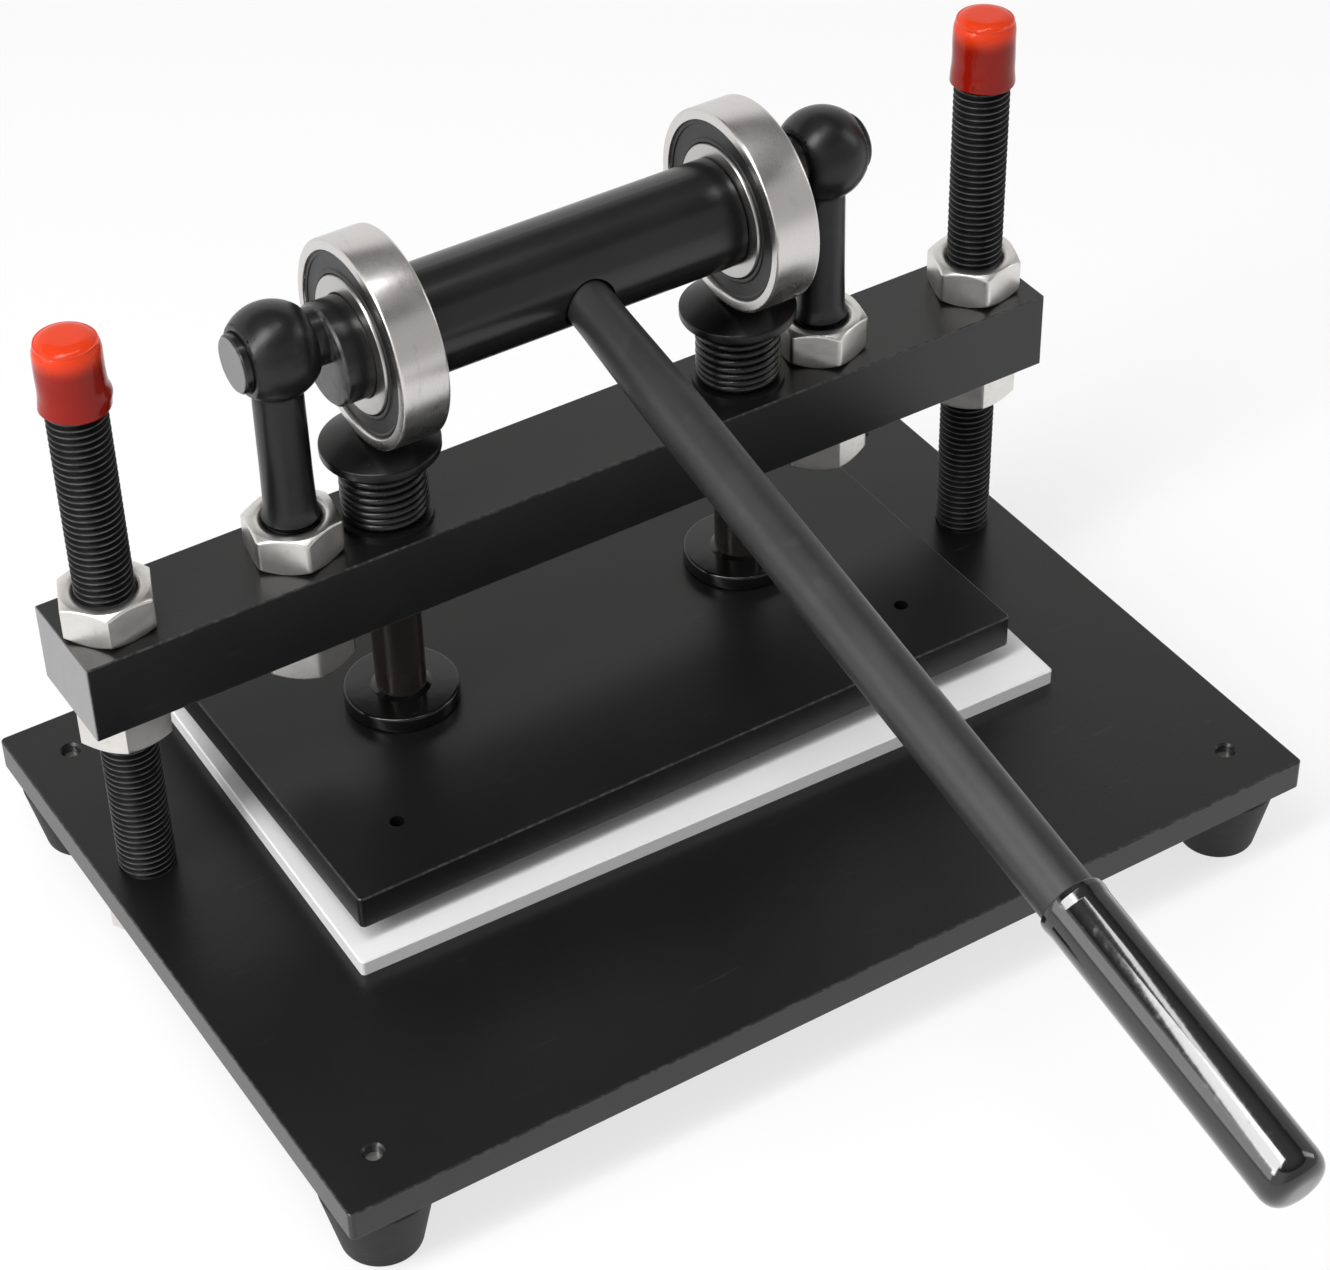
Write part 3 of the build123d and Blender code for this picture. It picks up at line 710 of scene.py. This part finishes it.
for name, body, turns in (
    ("base_nuts", "base", COLUMN_NUT_TURNS),
    ("column_lower_nuts", "beam_head", COLUMN_NUT_TURNS),
    ("column_upper_nuts", "beam_head", COLUMN_NUT_TURNS),
    ("eye_lower_nuts", "beam_head", EYE_NUT_TURNS),
    ("eye_upper_nuts", "beam_head", EYE_NUT_TURNS),
):
    low, high = low_high(name)
    eye = name.startswith("eye")
    half = middle("eye_bolt_right" if eye else "column_right").x
    nuts = [hex_nut(sign * half, beam_y, low.z, high.z - low.z, turn)
            for sign, turn in zip((-1, 1), turns)]
    piece("plated_" + name, *together(*nuts), nickel, body, "plated_steel", [name], crease=50)

# ---------------------------------------------------------------- eye bolts

pin_z = low_high("eye_bolt_left")[1].z - EYE_RADIUS
nut_top = low_high("eye_upper_nuts")[1].z

# The eye bolt below its ball: radius and height above the nut
EYE_FOOT = (
    (EYE_SHANK_RADIUS + 0.15, 18),
    (EYE_SHANK_RADIUS + 0.35, 6),
    (EYE_SHANK_RADIUS + 0.55, 3.4),
    (COLUMN_RADIUS - 0.25, 1.5),
    (COLUMN_RADIUS - 0.05, 1.1),
    (COLUMN_RADIUS - 0.3, 0.7),
    (EYE_CORE_RADIUS, -0.6),
    (EYE_CORE_RADIUS, EYE_CORE_END),
    (0, EYE_CORE_END),
)


def open_bore(work, flat, centre, sign):
    """Rings that lead from an eye's flat into its cross bore; returns the innermost ring."""
    ring = sorted(flat.verts, key=lambda v: atan2(v.co.z - centre.z, v.co.y - centre.y))
    for radius, inset in ((JOURNAL_RADIUS + 0.6, 0.0), (JOURNAL_RADIUS + 0.1, 0.5)):
        inner = []
        for vertex in ring:
            out = Vector((0, vertex.co.y - centre.y, vertex.co.z - centre.z)).normalized()
            depth = centre.x + sign * (EYE_HALF_WIDTH - inset) * MM
            inner.append(work.verts.new(Vector((depth, centre.y, centre.z)) + out * radius * MM))
        for i in range(len(ring)):
            j = (i + 1) % len(ring)
            work.faces.new((ring[i], ring[j], inner[j], inner[i]))
        ring = inner
    return ring


def eye_bolt(side, x):
    """Ball with two softened flats and a cross bore, on a slightly tapered shank."""
    ball, ball_steps = [], 32
    neck_angle = radians(EYE_NECK_DEGREES)
    for step in range(ball_steps + 1):
        angle = pi / 2 + (neck_angle - pi / 2) * step / ball_steps
        ball.append((EYE_RADIUS * cos(angle), pin_z + EYE_RADIUS * sin(angle)))
    neck_r, neck_z = ball[-1]
    shank_top = neck_z - EYE_NECK_HEIGHT
    corner_r, corner_z = EYE_SHANK_RADIUS - 0.05, neck_z - 0.9
    neck, neck_steps = [], 8
    for step in range(1, neck_steps + 1):
        t = step / neck_steps
        neck.append((
            neck_r * (1 - t) ** 2 + corner_r * 2 * t * (1 - t) + EYE_SHANK_RADIUS * t * t,
            neck_z * (1 - t) ** 2 + corner_z * 2 * t * (1 - t) + shank_top * t * t,
        ))
    below = [(radius, nut_top + height) for radius, height in EYE_FOOT]
    made = piece(f"eye_{side}", *lathe(ball + neck + below, (x, beam_y, 0)), eye_black,
                 "beam_head", "black_steel", ["eye_bolt_" + side])
    work = bmesh.new()
    work.from_mesh(made.data)
    mouths = []
    for sign in (-1, 1):
        at = Vector((x + sign * EYE_HALF_WIDTH, beam_y, pin_z)) * MM
        cut = bmesh.ops.bisect_plane(work, geom=work.verts[:] + work.edges[:] + work.faces[:],
                                     plane_co=at, plane_no=(sign, 0, 0), clear_outer=True)
        rim = [g for g in cut["geom_cut"] if isinstance(g, bmesh.types.BMEdge)]
        bmesh.ops.edgenet_fill(work, edges=rim)
        bmesh.ops.bevel(work, geom=rim, offset=EYE_RIM_ROUND * MM, segments=4, profile=0.5,
                        affect="EDGES")
    for sign in (-1, 1):
        flat = max(work.faces, key=lambda f: f.calc_area() if f.normal.x * sign > 0.99 else 0)
        mouths.append(open_bore(work, flat, Vector((x, beam_y, pin_z)) * MM, sign))
        work.faces.remove(flat)
    left, right = mouths
    for i in range(len(left)):
        j = (i + 1) % len(left)
        work.faces.new((left[i], right[i], right[j], left[j]))
    bmesh.ops.recalc_face_normals(work, faces=work.faces)
    work.to_mesh(made.data)
    work.free()
    made.data.shade_smooth()
    made.data.set_sharp_from_angle(angle=radians(40))


for side, sign in zip(SIDES, (-1, 1)):
    x = sign * middle("eye_bolt_right").x
    eye_bolt(side, x)
    foot = low_high("eye_bolt_" + side)[0].z
    piece("eye_thread_" + side, *thread(x, beam_y, foot, nut_top - 1.0, EYE_THREAD_EDGE), thread_black,
          "beam_head", "black_steel", crease=75)

# ---------------------------------------------------------------- bearings

axis = middle("outer_ring_left")
ring_steel = ground_steel("ring_ground_steel", axis, level=0.66, roughness=0.19)
inner_steel = ground_steel("inner_ring_ground_steel", axis, level=0.52, roughness=0.22)
seal_black = seal_rubber("seal_black_rubber", axis)


def groove(radius, sign):
    """Points of a ball groove on a land of the given radius, from its low to its high side."""
    steps = 14
    pitch = (INNER_LAND_RADIUS + OUTER_LAND_RADIUS) / 2
    half = sqrt(BALL_GROOVE_RADIUS ** 2 - (radius - pitch) ** 2)
    points = []
    for step in range(steps + 1):
        h = -half + 2 * half * step / steps
        points.append((pitch + sign * sqrt(max(BALL_GROOVE_RADIUS ** 2 - h * h, 0)), h))
    return points


for side in SIDES:
    centre = middle("outer_ring_" + side)
    low, high = low_high("outer_ring_" + side)
    half = (high.x - low.x) / 2
    seal_face = half - SEAL_INSET

    # Outer ring: rounded rims, a step for each seal, the ball groove inside
    land = OUTER_LAND_RADIUS
    corners = [
        (land, -seal_face, 0), (land + 0.45, -half, 0.25), (BEARING_RADIUS, -half, BEARING_EDGE),
        (BEARING_RADIUS, half, BEARING_EDGE), (land + 0.45, half, 0.25), (land, seal_face, 0),
    ]
    profile = eased(corners) + list(reversed(groove(land, 1)))
    piece("bearing_outer_" + side, *lathe(profile, centre, (1, 0, 0), 160), ring_steel,
          "roller_" + side, "bearing_steel", ["outer_ring_" + side])

    # Inner ring
    land = INNER_LAND_RADIUS
    corners = [
        (land, seal_face, 0), (land - 0.35, half, 0.3), (SEAT_RADIUS + SNUG_GAP, half, 1.0),
        (SEAT_RADIUS + SNUG_GAP, -half, 1.0), (land - 0.35, -half, 0.3), (land, -seal_face, 0),
    ]
    profile = eased(corners) + groove(land, -1)
    piece("bearing_inner_" + side, *lathe(profile, centre, (1, 0, 0), 128), inner_steel,
          "cam", "bearing_steel", ["inner_ring_" + side])

    # Seals: a shallow dish with a raised lip at its inner and outer rim
    seals = []
    for face in (-1, 1):
        out = face * seal_face
        into = face * (seal_face - SEAL_THICK)
        dish = out - face * 0.45
        inner, outer = INNER_LAND_RADIUS + 0.3, OUTER_LAND_RADIUS - SNUG_GAP
        corners = [
            (inner, into, 0), (inner, out, 0.2), (inner + 1.3, out, 0.3), (inner + 1.7, dish, 0.3),
            (outer - 1.5, dish, 0.3), (outer - 1.1, out, 0.3), (outer, out, 0.2), (outer, into, 0),
        ]
        seals.append(lathe(eased(corners, 3), centre, (1, 0, 0), 128))
    piece("bearing_seal_pair_" + side, *together(*seals), seal_black,
          "roller_" + side, "seal_rubber", ["bearing_seals_" + side])

# ---------------------------------------------------------------- plunger heads, flanges and springs

for side in SIDES:
    low, high = low_high("plunger_head_" + side)
    x = (low.x + high.x) / 2
    radius = (high.x - low.x) / 2
    rim_top = high.z - HEAD_DOME_RISE
    dome_radius = (radius ** 2 + HEAD_DOME_RISE ** 2) / (2 * HEAD_DOME_RISE)
    dome, dome_steps = [], 14
    for step in range(dome_steps + 1):
        r = (radius - 0.8) * step / dome_steps
        dome.append((r, high.z - dome_radius + sqrt(dome_radius ** 2 - r * r)))
    hub_bottom = low.z - HUB_HEIGHT
    hub_bore = POST_RADIUS + 0.05
    spigot_bore = HEAD_SPIGOT_RADIUS + SNUG_GAP
    bore_end = low.z + HEAD_SPIGOT_HEIGHT
    rim = [(dome[-1][0], dome[-1][1], 0), (radius, rim_top, 0.7), (radius, low.z, 0.9),
           (HUB_RADIUS, low.z, 0.4), (HUB_RADIUS, hub_bottom, 0.5), (hub_bore, hub_bottom, 0),
           (hub_bore, low.z, 0), (spigot_bore, low.z, 0), (spigot_bore, bore_end, 0),
           (0, bore_end, 0)]
    edge = eased([(0, high.z, 0)] + rim)
    piece("domed_head_" + side, *lathe(dome + edge[2:], (x, beam_y, 0), around=112), head_black,
          "platen", "black_steel", ["plunger_head_" + side])

    low, high = low_high("plunger_flange_" + side)
    radius = (high.x - low.x) / 2
    bore = POST_RADIUS + SNUG_GAP
    corners = [(bore, low.z, 0), (radius, low.z, 1.1), (radius, high.z, 1.1),
               (POST_RADIUS + 1.6, high.z, 0.8), (bore, high.z + 0.9, 0)]
    piece("round_flange_" + side, *lathe(eased(corners), (x, beam_y, 0), around=112), flange_black,
          "platen", "black_steel", ["plunger_flange_" + side])


def coil(x, y, bottom, top):
    """A compression spring: close coils at its foot that open upwards."""
    turns, foot_turns, top_turns = 7, 0.8, 0.6
    foot_pitch, open_pitch, opening = 2.62, 3.0, 1.3
    around, per_turn = 14, 56

    def pitch(t):
        if t < foot_turns:
            return foot_pitch
        if t > turns - top_turns:
            return open_pitch
        return open_pitch + opening * (t - foot_turns) / (turns - foot_turns - top_turns)

    count = turns * per_turn
    heights = [0.0]
    for step in range(count):
        heights.append(heights[-1] + pitch((step + 0.5) / per_turn) / per_turn)
    scale = (top - bottom - SPRING_WIRE) / heights[-1]
    vertices = []
    for step, height in enumerate(heights):
        angle = 2 * pi * step / per_turn
        out = Vector((cos(angle), sin(angle), 0))
        centre = Vector((x, y, bottom + SPRING_WIRE / 2 + height * scale)) + out * SPRING_RADIUS
        for k in range(around):
            turn = 2 * pi * k / around
            spot = centre + (out * cos(turn) + Vector((0, 0, 1)) * sin(turn)) * SPRING_WIRE / 2
            vertices.append(spot)
    faces = bands([(step, step + 1) for step in range(count)], around)
    faces.append(tuple(range(around)))
    faces.append(tuple(count * around + k for k in reversed(range(around))))
    return vertices, faces


spring_black = spring_wire_black()
for side in SIDES:
    low, high = low_high("spring_" + side)
    x = (low.x + high.x) / 2
    top = high.z - HUB_HEIGHT
    made = piece("coil_spring_" + side, *coil(x, beam_y, low.z, top), spring_black,
                 None, "spring_steel", ["spring_" + side])
    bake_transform(made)

# ---------------------------------------------------------------- caps and grip

# Painted light: the caps' tops painted a lighter red than their sides, standing in for the light from above
column_top = low_high("column_left")[1].z
painted_top_light = (column_top - 8.5, column_top - 1.5, (0.62, 0.040, 0.008))
red_vinyl = dipped_vinyl("cap_red_vinyl", (0.20, 0.005, 0.001), (0.25, 0.008, 0.002),
                         roughness=0.15, depth=0.16, painted_top_light=painted_top_light, Specular_IOR_Level=0.22)
grip_vinyl = dipped_vinyl("grip_black_vinyl", grey(0.003), grey(0.006),
                          roughness=0.10, depth=0.05, Coat_Weight=0.7, Coat_Roughness=0.05)


def cap_lip(bulge_angle, bulge):
    """Uneven flare of a dipped cap's lower rim, strongest towards one side."""
    def reshape(radius, height, angle):
        if radius < COLUMN_RADIUS - 0.1:
            return radius, height
        low = max(0.0, 1 - height / 9.0)
        swing = 0.5 + 0.5 * cos(angle - bulge_angle)
        flare = 0.25 * low * low * (1 + sin(2 * angle + 1.0) * 0.6)
        flare += bulge * swing ** 6 * exp(-((height - 4.2) / 2.4) ** 2)
        droop = 0.5 * low * low * sin(angle * 2 + 0.6)
        soft = 0.06 * sin(3 * angle + height * 0.4)
        return radius + flare + soft * min(1.0, height / 4), height + droop
    return reshape


def divided(points, radius):
    """The profile with its long upright edges outside the radius cut into lengths of 1 mm."""
    cut = []
    for (r, z), (next_r, next_z) in zip(points, points[1:]):
        cut.append((r, z))
        parts = int(abs(z - next_z))
        if abs(z - next_z) > 2 and r > radius:
            cut += [(r + (next_r - r) * k / parts, z + (next_z - z) * k / parts)
                    for k in range(1, parts)]
    return cut + [points[-1]]


for side, bulge_angle, bulge in (("left", radians(-25), 1.0), ("right", radians(200), 0.4)):
    low, high = low_high("cap_" + side)
    x = (low.x + high.x) / 2
    tall = high.z - low.z
    inner = COLUMN_RADIUS + CAP_GAP
    outer = inner + CAP_WALL
    inside = tall - CAP_CROWN_WALL
    corners = [
        (0, tall - 0.1, 0), (outer - 0.1, tall, CAP_ROUND), (outer, tall * 0.45, 0),
        (outer + 0.05, 5.0, 0), (outer + 0.35, 0.0, 0.45), (inner, 0.0, 0.2),
        (inner, inside, 0), (0, inside, 0),
    ]
    profile = divided(eased(corners, 8), outer - 0.6)
    piece("dipped_cap_" + side, *lathe(profile, (x, beam_y, low.z), reshape=cap_lip(bulge_angle, bulge)),
          red_vinyl, "base", "red_vinyl", ["cap_" + side])

lever_origin = Vector((0, axis.y, axis.z))
lever_along = Vector((0, -cos(radians(LEVER_ANGLE)), -sin(radians(LEVER_ANGLE))))
corners = [
    (0, LEVER_STUB_END, 0), (LEVER_STUB_RADIUS, LEVER_STUB_END, 0), (LEVER_STUB_RADIUS, LEVER_ROOT, 0),
    (LEVER_NECK_RADIUS, LEVER_ROOT, 0), (LEVER_NECK_RADIUS, LEVER_NECK_END, 80),
    (LEVER_RADIUS, LEVER_NECK_END + LEVER_TAPER, 400), (LEVER_RADIUS, LEVER_LENGTH, 0),
    (0, LEVER_LENGTH, 0),
]
piece("lever_bar", *lathe(eased(corners), lever_origin, lever_along), lever_black,
      "cam", "black_steel", ["lever"])

grip_radius = LEVER_RADIUS + GRIP_WALL
grip_end = LEVER_LENGTH + GRIP_END_WALL
grip_bore = LEVER_RADIUS + 0.03
grip_inside = LEVER_LENGTH + 0.05
corners = [
    (grip_bore, GRIP_START, 0), (grip_radius + GRIP_LIP - 0.1, GRIP_START, 0.5),
    (grip_radius + GRIP_LIP, GRIP_START + 2, 1.5), (grip_radius, GRIP_START + 5, 2.0),
    (grip_radius, grip_end, GRIP_ROUND), (0, grip_end, 0),
    (0, grip_inside, 0), (grip_bore, grip_inside, 0),
]
piece("dipped_grip", *lathe(eased(corners, 7), lever_origin, lever_along), grip_vinyl,
      "cam", "black_vinyl", ["lever_grip"])

# ---------------------------------------------------------------- studio

WHITE = (1, 1, 1, 1)
FLOOR_GLOW = 0.72
FLOOR_REACH = 9.0

floor_finish = Finish("studio_floor")
rays = floor_finish.node("LightPath").socket.node.outputs
seen = Value(floor_finish, rays["Is Camera Ray"]).most(
    Value(floor_finish, rays["Is Glossy Ray"])).most(
    Value(floor_finish, rays["Is Transmission Ray"]))
paper = floor_finish.node("BsdfDiffuse", None, Color=(0.92, 0.92, 0.925, 1))
glow = floor_finish.node("Emission", None, Color=WHITE, Strength=1.0)
floor_finish.node("OutputMaterial", None,
                  floor_finish.node("MixShader", None, seen * FLOOR_GLOW, paper, glow))

floor_mesh = bpy.data.meshes.new("studio_floor")
floor_corners = [(x * FLOOR_REACH, y * FLOOR_REACH, 0)
                 for x, y in ((-1, -1), (1, -1), (1, 1), (-1, 1))]
floor_mesh.from_pydata(floor_corners, [], [(0, 1, 2, 3)])
floor_mesh.materials.append(floor_finish.owner)
floor = bpy.data.objects.new("studio_floor", floor_mesh)
bpy.context.scene.collection.objects.link(floor)

world = bpy.data.worlds.new("studio")
bpy.context.scene.world = world
sky = Finish("studio", world)
seen = Value(sky, sky.node("LightPath").socket.node.outputs["Is Camera Ray"])
toward = sky.node("SeparateXYZ", None, sky.node("TexCoord", output=0)).socket.node.outputs
east, north, up = (Value(sky, toward[i]) for i in range(3))
# A pale backdrop behind and to the left that ends above, and a dim ceiling
paper_wall = up.ramp(0.71, 0.63, 0.0, 0.85) * (north - 0.9 * east).ramp(-0.55, 0.15, 0.5, 1.0)
room_level = paper_wall + 0.10 + up.ramp(0.70, 1.0, 0.0, 0.30)
room_colour = sky.blend(room_level, (0.0, 0.0, 0.0), (1.0, 0.995, 0.985))
room = sky.node("Background", None, Color=room_colour, Strength=1.0)
white = sky.node("Background", None, Color=WHITE, Strength=1.0)
sky.node("OutputWorld", None, sky.node("MixShader", None, seen, room, white))


def softbox(name, place, aim, width, height, power):
    """A rectangular lamp at a place, turned to the aim."""
    lamp = bpy.data.lights.new(name, "AREA")
    lamp.shape = "RECTANGLE"
    lamp.size = width
    lamp.size_y = height
    lamp.energy = power
    made = bpy.data.objects.new(name, lamp)
    made.location = place
    made.rotation_euler = (Vector(place) - Vector(aim)).to_track_quat("Z", "Y").to_euler()
    bpy.context.scene.collection.objects.link(made)


# Places, aims and sizes in metres, power in watts
for name, place, aim, width, height, power in (
    ("strip_wide", (-1.0, -0.15, 1.35), (0.0, -0.05, 0.1), 0.30, 1.7, 19),
    ("strip_narrow", (-0.28, -0.15, 1.45), (0.0, -0.05, 0.1), 0.10, 1.5, 4.5),
    ("softbox_left", (-1.5, 0.2, 0.7), (0.0, 0.1, 0.15), 0.9, 0.9, 5),
    ("softbox_right", (1.3, -0.4, 0.9), (0.0, 0.0, 0.1), 0.35, 0.9, 2.5),
):
    softbox(name, place, aim, width, height, power)

# ---------------------------------------------------------------- camera

# Measured on the photo; the place is in metres from the middle of the base plate's top
PHOTO_WIDTH = 1330
FOCAL_PIXELS = 3403.7426
CAMERA_FROM_BASE = (-0.462174, -0.773519, 0.805572)
CAMERA_DEGREES = (49.99530554, 1.1280924, -32.18654041)
CAMERA_SHIFT = (0.004407779, 0.005561994)
SENSOR_WIDTH = 36.0
camera_data = bpy.data.cameras.new("photo_camera")
camera = bpy.data.objects.new("photo_camera", camera_data)
bpy.context.scene.collection.objects.link(camera)
base_middle = middle("base_plate") * MM
base_top = low_high("base_plate")[1].z * MM
aside, before, above = CAMERA_FROM_BASE
camera.location = (aside, base_middle.y + before, base_top + above)
camera.rotation_euler = [radians(angle) for angle in CAMERA_DEGREES]
camera_data.sensor_width = SENSOR_WIDTH
camera_data.lens = FOCAL_PIXELS / PHOTO_WIDTH * SENSOR_WIDTH
camera_data.shift_x, camera_data.shift_y = CAMERA_SHIFT
bpy.context.scene.camera = camera
bpy.context.scene.view_settings.view_transform = "Standard"
